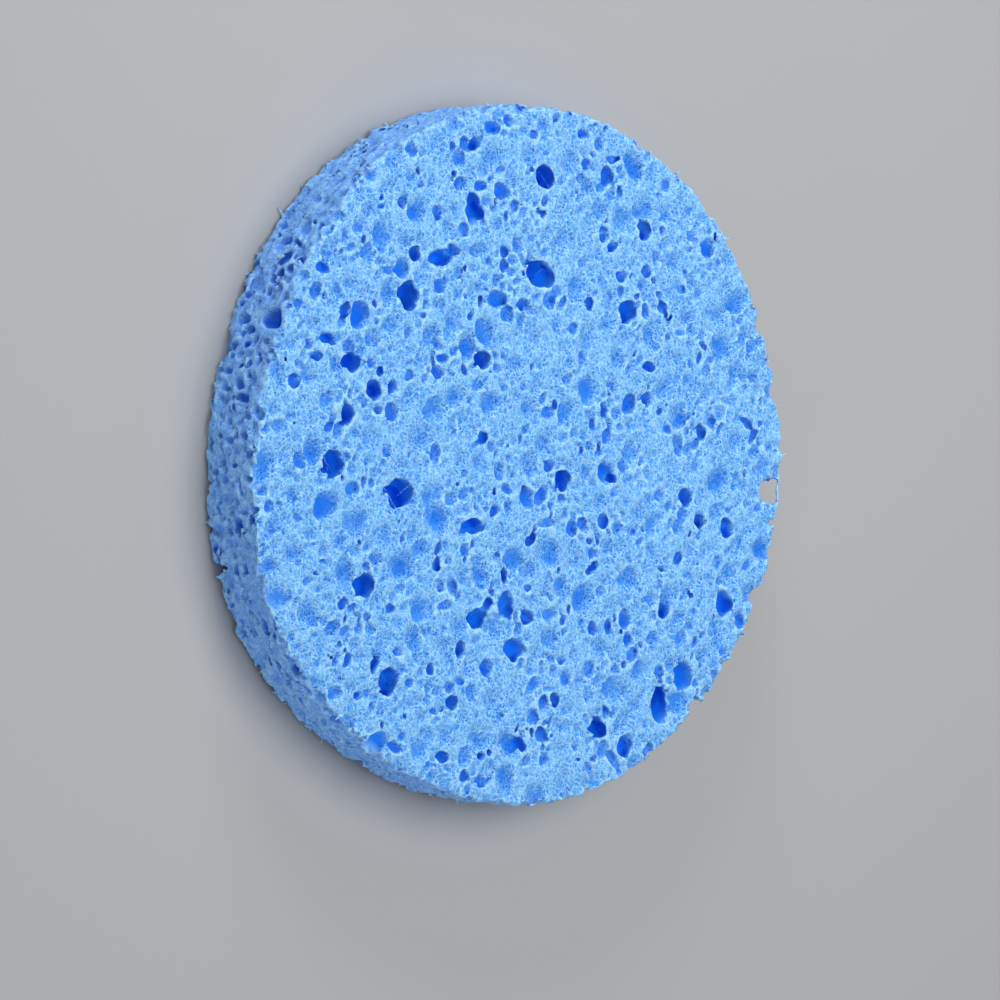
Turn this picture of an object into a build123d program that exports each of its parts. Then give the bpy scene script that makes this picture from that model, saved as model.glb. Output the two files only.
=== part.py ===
"""Round facial sponge: one dry disc of open-celled cellulose foam, lying on its back face.

Frame: +Z is up, the origin is the middle of the back face, and X and Y lie in that face.
The disc is one solid. Its look comes from the cells that the foam kept when it set: deep
pores, shallow saucers, pores drawn out along the side, crumbs torn from the front edge and
one tunnel that runs from the face to the side and leaves a strand of rim. A foam cell is a
polyhedron, so each one here is an irregular polygon that narrows to a smaller floor.
"""

import math
import os
import random

from build123d import *

# ---- Driving dimensions, in millimetres and degrees ----

sponge_diameter = 80.0
sponge_thickness = 8.5
front_edge_radius = 0.9
back_edge_radius = 0.8
edge_bevels = 2           # flats that make up each soft edge

cell_corners = 8          # corners of a large cell's mouth
small_cell_corners = 6
cell_raggedness = 0.16    # how far a mouth's corners stray, as a share of its size
belly_scale = 0.86        # a large cell's size at its belly, against its mouth
belly_share = 0.6         # how far down the belly lies, as a share of the depth
floor_scale = 0.42        # a cell's size at its floor, against its mouth

deep_share = 0.95         # depth of a deep pore, in widths of its mouth
saucer_depth = 0.55
scattered_share = 0.75    # depth of a scattered pore, in widths
side_share = 0.65         # depth of a side pore, in widths

front_scatter_count = 64
back_scatter_count = 72
side_scatter_count = 36
scatter_smallest = 1.0
front_scatter_largest = 2.0
back_scatter_largest = 3.2
side_scatter_largest = 1.4
side_stretch = 1.5        # length of a small side pore, in its widths
scatter_gap = 0.6         # least wall left between two scattered pores
scatter_tries = 40        # places drawn for each scattered pore that is wanted
seat_margin = 2.6         # plain rim of the back face, which the sponge rests on
scatter_seed = 11

tunnel_width = 2.0
tunnel_slope = 48.0       # from the face down to the side
tunnel_inset = 2.4        # from the side to the middle of the tunnel's mouth
tunnel_bearing = 85.0

sponge_radius = sponge_diameter / 2
front_z = sponge_thickness
outside = 1.5             # how far a cell's cutting shape starts outside the skin

# Deep pores of the front face: (share of the radius out, bearing, length, width, turn).
# Length and width are the mouth's, and turn is the bearing of the long way.
DEEP_PORES = [
    (0.80, 178, 3.0, 2.7, 90),
    (0.52, 178, 4.4, 2.9, 90),
    (0.65, -148, 3.2, 2.0, 90),
    (0.64, -133, 3.3, 3.0, 10),
    (0.75, -120, 3.2, 2.8, 0),
    (0.45, -162, 3.0, 2.2, 90),
    (0.56, 140, 2.7, 2.4, 60),
    (0.79, 148, 2.6, 2.1, 0),
    (0.33, -144, 2.3, 2.3, 0),
    (0.34, 146, 1.8, 1.7, 0),
    (0.61, -106, 2.1, 2.1, 0),
    (0.71, -110, 2.4, 2.2, 0),
    (0.81, -112, 2.3, 1.5, 90),
    (0.54, -102, 2.7, 2.1, 10),
    (0.68, -98, 2.2, 2.0, 0),
    (0.72, -87, 2.9, 2.7, 90),
    (0.49, 111, 1.8, 1.5, 90),
    (0.41, 113, 2.7, 2.0, 0),
    (0.30, 82, 2.9, 2.3, 0),
    (0.16, 61, 2.4, 2.4, 0),
    (0.12, 0, 2.7, 2.5, 0),
    (0.49, -74, 4.6, 3.0, 90),
    (0.29, -45, 3.5, 1.8, 80),
    (0.20, 19, 3.2, 1.5, 90),
    (0.63, 80, 2.1, 2.0, 0),
    (0.68, 97, 1.9, 1.5, 0),
    (0.70, 75, 2.0, 1.8, 90),
    (0.82, 76, 2.5, 2.3, 0),
    (0.70, -58, 2.8, 2.6, 0),
    (0.43, -10, 3.2, 2.1, 10),
    (0.50, -21, 3.0, 2.1, 90),
    (0.46, 1, 2.0, 1.9, 90),
    (0.70, 51, 1.9, 1.8, 0),
    (0.61, 41, 2.4, 1.8, 0),
    (0.81, -38, 2.9, 2.7, 0),
    (0.75, -21, 2.0, 1.8, 90),
    (0.59, -24, 1.9, 1.4, 0),
    (0.84, 21, 2.6, 2.1, 90),
    (0.89, 37, 4.1, 2.8, 15),
    (0.93, 26, 2.6, 2.4, 90),
    (0.90, -19, 1.9, 1.5, 90),
    (0.96, -63, 3.3, 2.6, -63),
    (0.73, -161, 4.0, 2.3, 5),
    (0.86, 162, 2.4, 2.0, 0),
    (0.91, -165, 1.5, 1.4, 0),
]

# Shallow saucers of the front face: (share of the radius out, bearing, mouth width).
SAUCERS = [
    (0.29, 18, 4.2),
    (0.57, -57, 4.0),
    (0.70, -129, 3.2),
    (0.61, -159, 2.9),
    (0.67, -118, 2.6),
    (0.55, -4, 3.0),
    (0.79, 11, 2.8),
    (0.94, 133, 2.4),
]

# Pores of the side, drawn out along the rim: (bearing, share of the height, length, width).
SIDE_PORES = [
    (-112, 0.78, 3.0, 2.2),
    (-109, 0.36, 2.2, 1.2),
    (-123, 0.55, 2.0, 1.2),
    (-96, 0.60, 2.4, 1.1),
    (-78, 0.50, 2.6, 1.2),
    (-65, 0.30, 2.8, 1.2),
    (-53, 0.55, 2.4, 1.2),
    (-38, 0.40, 2.6, 1.3),
    (-10, 0.55, 2.4, 1.3),
    (25, 0.45, 3.0, 1.4),
    (55, 0.50, 2.4, 1.6),
    (118, 0.50, 2.8, 1.4),
    (150, 0.40, 2.2, 1.3),
    (-160, 0.50, 2.8, 1.4),
]

# Crumbs torn from the front edge: (bearing, width).
RIM_BITES = [
    (67, 2.2),
    (44, 2.6),
    (157, 1.8),
    (-33, 3.0),
]

stray = random.Random(scatter_seed)


# ---- Shapes ----

def mouth_outline(length, width, corners):
    """An irregular polygon in an ellipse: its corners stray along it and in and out."""
    outline = []
    for k in range(corners):
        angle = 2 * math.pi * (k + stray.uniform(-1, 1) * cell_raggedness) / corners
        swell = 1 + stray.uniform(-1, 1) * cell_raggedness
        outline.append((length / 2 * swell * math.cos(angle), width / 2 * swell * math.sin(angle)))
    return outline


def cell(outline, levels):
    """A closed polyhedron through scaled copies of one outline: (height, scale) each level."""
    rings = [[Vector(x * scale, y * scale, z) for x, y in outline] for z, scale in levels]
    loops = [rings[0], rings[-1]]
    for upper, lower in zip(rings, rings[1:]):
        for k in range(len(outline)):
            loops.append([upper[k - 1], upper[k], lower[k], lower[k - 1]])
    return Solid(Shell([Face(Wire.make_polygon(loop, close=True)) for loop in loops]))


def large_cell(length, width, depth):
    """A deep cell that keeps its width down to a belly and then closes in to its floor."""
    levels = [(outside, 1.0), (-belly_share * depth, belly_scale), (-depth, floor_scale)]
    return cell(mouth_outline(length, width, cell_corners), levels)


def small_cell(length, width, depth):
    """A cell with straight walls down to its floor."""
    levels = [(outside, 1.0), (-depth, floor_scale)]
    return cell(mouth_outline(length, width, small_cell_corners), levels)


def reach(share_out, bearing, z):
    """A place a share of the radius out from the middle, at a bearing and a height."""
    angle = math.radians(bearing)
    out = share_out * sponge_radius
    return Vector(out * math.cos(angle), out * math.sin(angle), z)


def on_front(share_out, bearing, turn):
    """Where a cell stands mouth up on the front face."""
    return Pos(reach(share_out, bearing, front_z)) * Rot(0, 0, turn)


def on_side(bearing, share_up):
    """Where a cell stands mouth out on the side, with its long way along the rim."""
    place = Plane(
        origin=reach(1, bearing, share_up * sponge_thickness),
        x_dir=(-math.sin(math.radians(bearing)), math.cos(math.radians(bearing)), 0),
        z_dir=reach(1, bearing, 0).normalized(),
    )
    return place.location


def on_edge(bearing, slope, inset):
    """Where a cell stands on the front face near the edge, its axis leaning in by slope."""
    share_out = 1 - inset / sponge_radius
    return Pos(reach(share_out, bearing, front_z)) * Rot(0, 0, bearing) * Rot(0, slope, 0)


def soft_edge(radius, z, side):
    """Corners of a rounded edge from the face at z to the side, which is up (1) or down (-1)."""
    corners = []
    for k in range(edge_bevels + 1):
        angle = math.pi / 2 * k / edge_bevels
        out = sponge_radius - radius + radius * math.sin(angle)
        corners.append((out, z + side * radius * (1 - math.cos(angle))))
    return corners


def disc():
    """The blank, cut from a sheet: half its section, with both edges softened, turned about Z."""
    section = [(0, 0)] + soft_edge(back_edge_radius, 0, 1)
    section += soft_edge(front_edge_radius, front_z, -1)[::-1] + [(0, front_z)]
    return revolve(Plane.XZ * make_face(Polyline(*section, close=True)), Axis.Z)


def spread(count, widest, draw_place, taken):
    """Places and widths of scattered pores, kept where they are clear of those before them."""
    found = []
    for _ in range(count * scatter_tries):
        width = scatter_smallest + (widest - scatter_smallest) * stray.random() ** 2
        place = draw_place()
        gaps = [math.dist(place, other) - (width + other_width) / 2 for other, other_width in taken]
        if len(found) < count and min(gaps, default=scatter_gap) >= scatter_gap:
            found.append((place, width))
            taken.append((place, width))
    return found


def anywhere_within(radius):
    """A random place in a circle."""
    out = radius * math.sqrt(stray.random())
    angle = stray.uniform(0, 2 * math.pi)
    return out * math.cos(angle), out * math.sin(angle)


def anywhere_on_side(margin):
    """A random place on the unrolled side: (distance round, height)."""
    return (
        stray.uniform(-math.pi, math.pi) * sponge_radius,
        stray.uniform(back_edge_radius + margin, sponge_thickness - front_edge_radius - margin),
    )


def front_cells():
    """The chosen deep pores and saucers of the front face, and small pores between them."""
    cells, taken = [], []
    for share_out, bearing, length, width, turn in DEEP_PORES:
        cells.append(on_front(share_out, bearing, turn) * large_cell(length, width, deep_share * width))
        taken.append((tuple(reach(share_out, bearing, 0))[:2], length))
    for share_out, bearing, width in SAUCERS:
        cells.append(on_front(share_out, bearing, 0) * large_cell(width, width, saucer_depth))
        taken.append((tuple(reach(share_out, bearing, 0))[:2], width))
    limit = sponge_radius - front_edge_radius - front_scatter_largest / 2
    found = spread(front_scatter_count, front_scatter_largest, lambda: anywhere_within(limit), taken)
    for (x, y), width in found:
        cells.append(Pos(x, y, front_z) * small_cell(width, width, scattered_share * width))
    return cells


def back_cells():
    """Small pores over the back face, inside the plain rim that it rests on."""
    limit = sponge_radius - seat_margin - back_scatter_largest / 2
    found = spread(back_scatter_count, back_scatter_largest, lambda: anywhere_within(limit), [])
    return [
        Pos(x, y, 0) * Rot(180, 0, 0) * small_cell(width, width, scattered_share * width)
        for (x, y), width in found
    ]


def side_cells():
    """The chosen pores of the side and small ones between them, all drawn out along the rim."""
    cells, taken = [], []
    for bearing, share_up, length, width in SIDE_PORES:
        cells.append(on_side(bearing, share_up) * large_cell(length, width, side_share * width))
        taken.append(((math.radians(bearing) * sponge_radius, share_up * sponge_thickness), length))
    margin = side_scatter_largest / 2
    found = spread(side_scatter_count, side_scatter_largest, lambda: anywhere_on_side(margin), taken)
    for (round_rim, height), width in found:
        bearing = math.degrees(round_rim / sponge_radius)
        shape = small_cell(width * side_stretch, width, side_share * width)
        cells.append(on_side(bearing, height / sponge_thickness) * shape)
    return cells


def edge_cells():
    """The crumbs torn from the front edge, and the tunnel under the strand of rim."""
    cells = [
        on_edge(bearing, 45, 0) * small_cell(width, width, width / 2)
        for bearing, width in RIM_BITES
    ]
    outline = mouth_outline(tunnel_width, tunnel_width, cell_corners)
    tunnel = cell(outline, [(sponge_thickness, 1.0), (-sponge_thickness, 1.0)])
    cells.append(on_edge(tunnel_bearing, tunnel_slope - 90, tunnel_inset) * tunnel)
    return cells


# ---- Build ----

sponge = disc() - front_cells() - back_cells() - side_cells() - edge_cells()
os.makedirs("parts", exist_ok=True)
export_step(sponge, "parts/sponge.step")
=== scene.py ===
"""Dry blue cellulose facial sponge, 80 mm across, lying on its back face.

The sponge is one piece of open foam. Its skin is where a field of gas bubbles meets the disc
that it was cut from, so its pores can undercut, run into each other and break through the
rim, which no surface over a flat grid can do. The field is worked out on a lattice with
numpy as whole arrays, and the skin is drawn through it by surface nets.
Lengths are in millimetres until the mesh is made, and in metres after that.
"""

import math

import bpy
import numpy as np
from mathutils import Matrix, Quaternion, Vector


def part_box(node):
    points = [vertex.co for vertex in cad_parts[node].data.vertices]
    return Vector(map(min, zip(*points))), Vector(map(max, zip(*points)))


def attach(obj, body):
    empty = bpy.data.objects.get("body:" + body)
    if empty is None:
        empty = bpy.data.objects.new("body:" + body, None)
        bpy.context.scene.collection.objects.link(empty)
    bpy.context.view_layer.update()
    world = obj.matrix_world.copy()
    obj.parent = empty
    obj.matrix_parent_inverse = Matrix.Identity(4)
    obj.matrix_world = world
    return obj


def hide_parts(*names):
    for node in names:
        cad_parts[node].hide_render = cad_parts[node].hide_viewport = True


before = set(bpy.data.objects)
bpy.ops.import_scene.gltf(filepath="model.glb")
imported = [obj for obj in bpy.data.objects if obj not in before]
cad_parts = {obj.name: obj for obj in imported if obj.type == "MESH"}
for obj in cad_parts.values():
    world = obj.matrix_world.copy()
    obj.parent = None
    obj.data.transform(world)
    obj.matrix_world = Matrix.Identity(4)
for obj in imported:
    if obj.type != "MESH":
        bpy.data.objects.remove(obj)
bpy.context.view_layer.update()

MM = 0.001
low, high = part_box("sponge")
RADIUS = (high.x - low.x) / 2 / MM
THICKNESS = (high.z - low.z) / MM

# ---- The foam's own sizes, in millimetres ----

LATTICE_STEP = 0.17       # spacing of the lattice that the foam is worked out on
MARGIN_OUT = 2.0          # lattice kept around the disc
MARGIN_UP = 0.6           # lattice kept over and under it
RIM_OUT = 0.24            # how far the rim stands out, as its rounded edges draw it in
# Waves in the rim: (how many go round, height, start in radians).
RIM_WAVES = [(1, 0.19, 0.0), (2, 0.28, -1.09), (3, 0.17, -1.47), (4, 0.17, -0.26), (5, 0.19, 1.08)]
SLANT = 1.3               # how far the side leans in towards the front, where it leans most
SLANT_BEARING = -118      # where it leans most, and over how many degrees the lean fades
SLANT_SPREAD = 35
FRONT_EDGE_ROUND = 0.6
BACK_EDGE_ROUND = 0.8
LIP_ROUND = 0.06          # how softly a pore's lip turns over
STRAY = 0.28              # how far a bubble's wall strays from an ellipsoid
STRAY_LUMP = 1.7          # size of the lumps that it strays in
FINE_STRAY = 0.19         # the same in small crinkles
FINE_STRAY_LUMP = 0.7
FACE_INSET = 0.05         # how much thinner the disc starts, as noise and lips add to it
NEAR_SIDE = 1.5           # how far in from the rim the foam is rougher
LUMPS = [(5.0, 0.10, 0.0), (1.6, 0.07, 0.16), (0.6, 0.05, 0.23)]  # size, height, more at the side
STREAK_BEARING = -48      # where the side is drawn out in streaks, and over how many degrees
STREAK_SPREAD = 22
GROOVE = 0.30             # depth of the streaks' grooves
GROOVE_STEP = 0.7         # height of a groove
GROOVE_FROM = -2
GROOVE_TO = 14
GROOVE_WAVE = 0.5         # how far a groove rises and falls on its way round
GROOVE_WAVES = 7
SKIN_TRIANGLES = 199000
SPARING = 1e-4            # how much the next two count when the skin is thinned
SPARED_ABOVE = 0.6        # height over which the skin keeps more faces than under it
SPARED_WEIGHT = 0.5       # how readily it loses them there
CLOSENESS_CELLS = 4       # how many lattice cells off the foam near a place is counted
RIDGE_CELLS = 2           # the same for thin ridges
TINY = 1e-6               # keeps a length from being divided by nothing
SEED = 5

# Pores that stand out on the front face: (share of the radius out, bearing, size along X,
# size along Y). The deep ones open into bubbles under the face, the middling ones are
# half bubbles, and the saucers are shallow caps.
DEEP_PORES = [
    (0.49, -76, 3.0, 3.6), (0.52, 178, 2.9, 4.6), (0.90, 37, 4.1, 3.0), (0.64, -133, 3.3, 3.0),
    (0.80, 178, 2.7, 3.0), (0.72, -87, 2.7, 2.9), (0.81, -38, 2.9, 2.7), (0.70, -58, 2.7, 2.6),
    (0.56, 140, 2.5, 2.7), (0.50, -21, 2.1, 3.0), (0.29, -45, 1.7, 3.6), (0.65, -147, 1.9, 3.2),
    (0.15, 61, 2.4, 2.4), (0.71, -110, 2.3, 2.4), (0.79, 148, 2.6, 2.1), (0.84, 21, 2.1, 2.6),
    (0.33, -144, 2.3, 2.3), (0.61, -106, 2.1, 2.1), (0.68, -98, 2.2, 2.0), (0.63, 80, 2.1, 2.0),
    (0.46, 1, 1.9, 2.0), (0.70, 75, 1.8, 2.0), (0.75, -21, 1.8, 2.0), (0.70, 51, 1.9, 1.8),
    (0.71, -141, 1.8, 1.8), (0.81, -112, 1.4, 2.3), (0.68, 97, 1.9, 1.5), (0.90, -19, 1.4, 2.0),
    (0.53, 121, 1.3, 2.1), (0.49, 111, 1.5, 1.8), (0.71, 10, 1.8, 1.5), (0.60, -24, 1.9, 1.4),
    (0.93, -13, 1.6, 1.5), (0.83, -108, 1.1, 2.0), (0.91, -165, 1.4, 1.5), (0.85, -144, 1.4, 1.5),
    (0.59, -143, 1.4, 1.5), (0.43, -174, 1.4, 1.5), (0.68, 154, 1.1, 1.8), (0.59, -168, 1.5, 1.1),
    (0.87, -10, 1.1, 1.4), (0.60, 14, 1.0, 1.5), (0.73, -40, 1.0, 1.4), (0.91, -42, 1.1, 1.2),
    (0.69, 178, 1.1, 0.9),
]
MIDDLING_PORES = [
    (0.90, 45, 3.5, 3.2), (0.73, -161, 4.1, 2.6), (0.74, -120, 3.2, 2.9), (0.90, 62, 3.0, 2.9),
    (0.55, -4, 2.4, 3.6), (0.96, -33, 2.7, 3.2), (0.43, -10, 3.2, 2.3), (0.12, -2, 2.7, 2.6),
    (0.30, 82, 2.9, 2.4), (0.46, -162, 2.2, 3.0), (0.93, 26, 2.5, 2.6), (0.82, 76, 2.5, 2.4),
    (0.93, 133, 2.5, 2.3), (0.53, -102, 2.7, 2.1), (0.41, 113, 2.7, 2.1), (0.71, -136, 2.2, 2.3),
    (0.86, 162, 2.4, 2.1), (0.45, 173, 2.2, 2.1), (0.62, -13, 2.2, 2.1), (0.20, 19, 1.4, 3.3),
    (0.76, -170, 1.9, 2.3), (0.61, 40, 2.4, 1.8), (0.81, -159, 1.8, 2.3), (0.94, -169, 1.9, 2.0),
    (0.96, -46, 1.8, 2.1), (0.30, 102, 2.2, 1.5), (0.77, -151, 1.8, 1.7), (0.34, 146, 1.8, 1.7),
    (0.74, -113, 1.5, 2.0), (0.46, -47, 1.9, 1.5), (0.70, 142, 1.6, 1.7), (0.48, 170, 1.6, 1.7),
    (0.96, -173, 1.5, 1.7), (0.86, 168, 1.5, 1.7), (0.70, 158, 1.6, 1.5), (0.71, -173, 1.5, 1.5),
    (0.90, 137, 1.5, 1.5), (0.95, 148, 1.5, 1.5), (0.71, -23, 1.3, 1.7), (0.37, 42, 1.4, 1.5),
    (0.94, -9, 1.4, 1.5), (0.91, 162, 1.1, 1.8), (0.61, 135, 1.6, 1.2), (0.64, -112, 1.1, 1.5),
    (0.73, -97, 1.1, 1.1), (0.38, 1, 1.0, 1.2),
]
SAUCERS = [
    (0.28, 18, 4.1, 4.4), (0.56, -57, 3.8, 4.2), (0.70, -130, 3.5, 2.6), (0.79, 11, 2.2, 3.2),
    (0.67, -118, 2.7, 2.6), (0.61, -159, 1.8, 3.6), (0.48, -74, 3.2, 5.0),
]
# Pores that stand out on the side: (bearing, height, size round the rim, size up the side,
# depth).
SIDE_PORES = [
    (-111, 6.2, 2.7, 3.0, 1.9), (-78, 5.4, 2.0, 1.8, 1.5), (-53, 6.8, 1.6, 1.8, 1.4),
    (-109, 3.4, 1.1, 1.2, 1.2), (-125, 3.2, 2.4, 1.8, 1.0), (-138, 4.9, 2.4, 1.4, 0.9),
    (-111, 2.1, 1.8, 2.2, 0.9), (-50, 4.4, 1.1, 1.1, 1.1), (-71, 5.3, 1.6, 0.9, 1.0),
    (-128, 5.2, 2.2, 1.6, 0.7), (-130, 8.0, 1.9, 1.4, 0.5), (-136, 1.8, 2.2, 2.0, 0.5),
    (-134, 5.3, 1.0, 1.2, 0.6), (-130, 1.6, 1.8, 2.0, 0.5), (-122, 4.8, 2.1, 2.1, 0.5),
    (-120, 0.9, 1.8, 1.6, 0.6), (-117, 2.1, 2.3, 2.3, 0.5), (-118, 6.5, 1.0, 0.9, 0.4),
    (-117, 5.0, 0.6, 0.7, 0.6), (-115, 1.6, 0.9, 1.3, 0.6), (-143, 3.1, 2.4, 0.9, 0.4),
    (-140, 6.3, 1.2, 1.0, 0.5), (-125, 5.2, 0.8, 1.1, 0.5), (-107, 6.9, 0.9, 1.1, 0.5),
    (-102, 2.0, 1.2, 1.3, 0.8), (-102, 5.4, 1.1, 0.5, 0.6), (-101, 6.2, 2.0, 1.4, 0.5),
    (-100, 8.2, 1.9, 1.5, 0.3), (-98, 5.1, 1.3, 2.0, 0.8), (-96, 7.2, 1.4, 1.1, 0.5),
    (-94, 5.5, 1.3, 1.2, 0.7), (-94, 3.4, 1.3, 0.9, 0.7), (-105, 3.2, 0.9, 1.1, 0.5),
    (-91, 4.1, 0.9, 1.2, 0.5), (-89, 7.4, 1.0, 1.5, 0.7), (-87, 5.0, 0.9, 0.9, 0.8),
    (-86, 1.9, 1.0, 1.3, 0.8), (-85, 3.5, 1.0, 1.4, 0.4), (-85, 5.9, 1.0, 1.2, 0.6),
    (-85, 7.3, 1.0, 1.4, 0.6), (-82, 4.2, 1.3, 1.6, 0.5), (-79, 3.0, 1.0, 1.3, 0.6),
    (-80, 6.5, 1.0, 1.2, 0.5), (-77, 1.8, 1.5, 2.2, 0.4), (-75, 4.2, 1.4, 2.0, 0.7),
    (-75, 6.6, 1.3, 1.4, 0.6), (-69, 2.1, 2.0, 1.4, 0.7), (-65, 5.9, 3.2, 3.2, 0.5),
    (-66, 6.7, 0.5, 0.6, 1.2), (-65, 1.3, 0.9, 0.9, 0.7), (-64, 3.1, 0.9, 0.4, 0.6),
    (-58, 3.3, 1.2, 1.2, 0.9), (-57, 4.4, 0.9, 1.1, 0.8), (-54, 4.6, 1.2, 0.6, 0.7),
    (-47, 7.6, 2.2, 1.7, 0.8), (-41, 6.9, 2.2, 1.6, 0.8), (-48, 5.1, 1.1, 0.9, 0.4),
]
# Bites torn from the rim, in the same way.
RIM_BITES = [
    (66, 7.8, 2.9, 2.4, 1.2), (43, 7.6, 3.4, 3.0, 1.4), (157, 8.0, 1.9, 1.6, 0.7),
    (-71, 0.2, 1.9, 3.4, 1.7), (-106, 0.2, 6.0, 3.0, 0.9), (102, 8.0, 2.6, 2.2, 1.0),
    (114, 8.0, 2.9, 2.4, 1.1), (180, 8.1, 1.7, 1.4, 0.6), (-33, 8.2, 3.1, 2.6, 1.2),
]
# Tunnels through the rim: (bearing, how far inside the rim, half size round it, half across).
TUNNELS = [(85, 1.9, 1.55, 1.5), (79.5, 1.0, 0.45, 0.35)]
TUNNEL_SLOPE = 48         # how steeply they fall from the face to the side, in degrees
TUNNEL_HALF = 5.0         # half their length
TUNNEL_ON = 1.0           # how far down their slope their middles lie

# How each kind of pore is cut. Depths, sinks and places aside are in shares of a pore's width,
# leans and the bearings that they point to are in degrees, and pairs are ranges to draw from.
DEEP_SINK = 0.20          # how far a deep pore's middle lies under the face
DEEP_SWELL = 1 / math.sqrt(1 - 0.35 ** 2)  # how much wider its bubble is than its mouth
DEEP_DEPTHS = (0.62, 0.85)
DEEP_LEANS = (10, 32)
DEEP_TOWARDS = (120, 230)
DEEP_SECOND = 0.62        # size of its second bubble, in sizes of the first
DEEP_SECOND_DOWN = -0.75  # where that lies, in depths of the first
DEEP_SECOND_ON = 0.15
DEEP_SECOND_ASIDE = 0.16
MIDDLING_DEPTHS = (0.52, 0.76)
MIDDLING_LEANS = (10, 30)
MIDDLING_TOWARDS = (130, 210)
MIDDLING_PRICKED = (0.2, 1.0)
MIDDLING_SECOND = 0.55
MIDDLING_SECOND_DOWN = -0.3
MIDDLING_SECOND_ON = 0.12
MIDDLING_SECOND_ASIDE = 0.2
SAUCER_HALF = 1.25        # a saucer's half depth, as a whole ellipsoid
SAUCER_RISE = 0.45        # how far its middle lies over the face, in half depths
SAUCER_LEANS = (16, 26)
SAUCER_TOWARDS = (-30, 30)

# Where a pore's floor is pinpricked and painted with shade: mostly towards one side, and a little way out
# of it.
PRICKED_EVEN = 0.55
PRICKED_SIDED = 0.45
PRICKED_ASLANT = 0.6
PRICKED_OUT = 1.15
PRICKED_FADE = 0.25

# Threads across the deep pores, at least so wide, from wall to wall a little way down.
THREADED_WIDTH = 2.6
THREAD_RADIUS = 0.10
THREAD_REACH = 0.62       # from these on in shares of the pore's width
THREAD_DOWN = (0.30, 0.55)
THREAD_TILT = 0.35
THREAD_ASIDE = 0.22
# The strand of rim outside the wide tunnel.
STRAND_BEARINGS = np.linspace(82, 88, 6)
STRAND_UNDER = 0.4        # how far under the face it runs
STRAND_OUT = -0.15        # how far out of the rim, and how far that strays
STRAND_STRAY = 0.10
STRAND_RADIUS = 0.16
# Wisps torn out of the side: at what height, and how many.
WISPS = [(THICKNESS - 0.6, 60), (0.6, 130), (THICKNESS / 2, 30)]
WISP_STRAY = 0.3          # how far they stray from that height
WISP_ROOTS = (-0.7, -0.3)  # how far out of the rim they start
WISP_WAY = (0.7, 1.0, 0.5)  # how far they point out, round and up, the last two by chance
WISP_LENGTHS = (0.8, 1.3)
WISP_RADII = (0.13, 0.20)
WISP_TIP = 0.09

CELL_OVERLAP = 0.20       # how far packed bubbles may run into each other, as a share
CELL_LEAN = 35            # how far packed bubbles lean over, at most
CELL_INSET = 0.1          # how far in from the rim those of a face stay
CELL_BEARING = -20        # the way that those of a face are drawn out, and how far it strays
CELL_BEARING_STRAY = 35
FACE_CELL_LENGTHS = (0.95, 1.35)  # how far bubbles are drawn out, for the faces and the side
SIDE_CELL_LENGTHS = (1.0, 1.4)
STREAK_LENGTH = 0.5       # how much more in the streaks
# Bubbles packed between the pores above. Each row has: how many are tried, their half sizes
# along the skin, how far their middles are sunk under it in half depths, how deep they are in
# half sizes, and the share of them whose floors are pinpricked.
FRONT_CELLS = [
    (500, (1.3, 2.3), (-0.72, -0.45), (0.50, 0.80), 0.9),
    (240, (0.45, 0.95), (0.00, 0.40), (1.00, 1.50), 0.1),
    (2500, (0.65, 1.1), (-0.60, 0.10), (0.60, 0.95), 0.5),
    (900, (0.24, 0.45), (0.10, 0.60), (1.20, 2.20), 0.0),
    (14000, (0.36, 0.65), (-0.55, 0.20), (0.80, 1.20), 0.2),
]
BACK_CELLS = [
    (220, (1.3, 2.3), (-0.72, -0.50), (0.50, 0.80), 0.8),
    (80, (0.5, 1.1), (0.10, 0.40), (1.10, 1.50), 0.1),
    (500, (0.7, 1.3), (-0.60, 0.00), (0.55, 0.90), 0.5),
    (1500, (0.45, 0.70), (-0.60, 0.10), (0.70, 1.00), 0.1),
]
SIDE_CELLS = [
    (250, (0.6, 1.1), (-0.60, -0.25), (0.60, 0.90), 0.5),
    (150, (0.4, 0.8), (-0.10, 0.30), (0.90, 1.30), 0.2),
    (1500, (0.35, 0.65), (-0.45, 0.30), (0.80, 1.30), 0.2),
    (3500, (0.26, 0.42), (-0.40, 0.40), (0.90, 1.40), 0.0),
]

draw = np.random.default_rng(SEED)


# ---- The lattice ----

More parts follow.
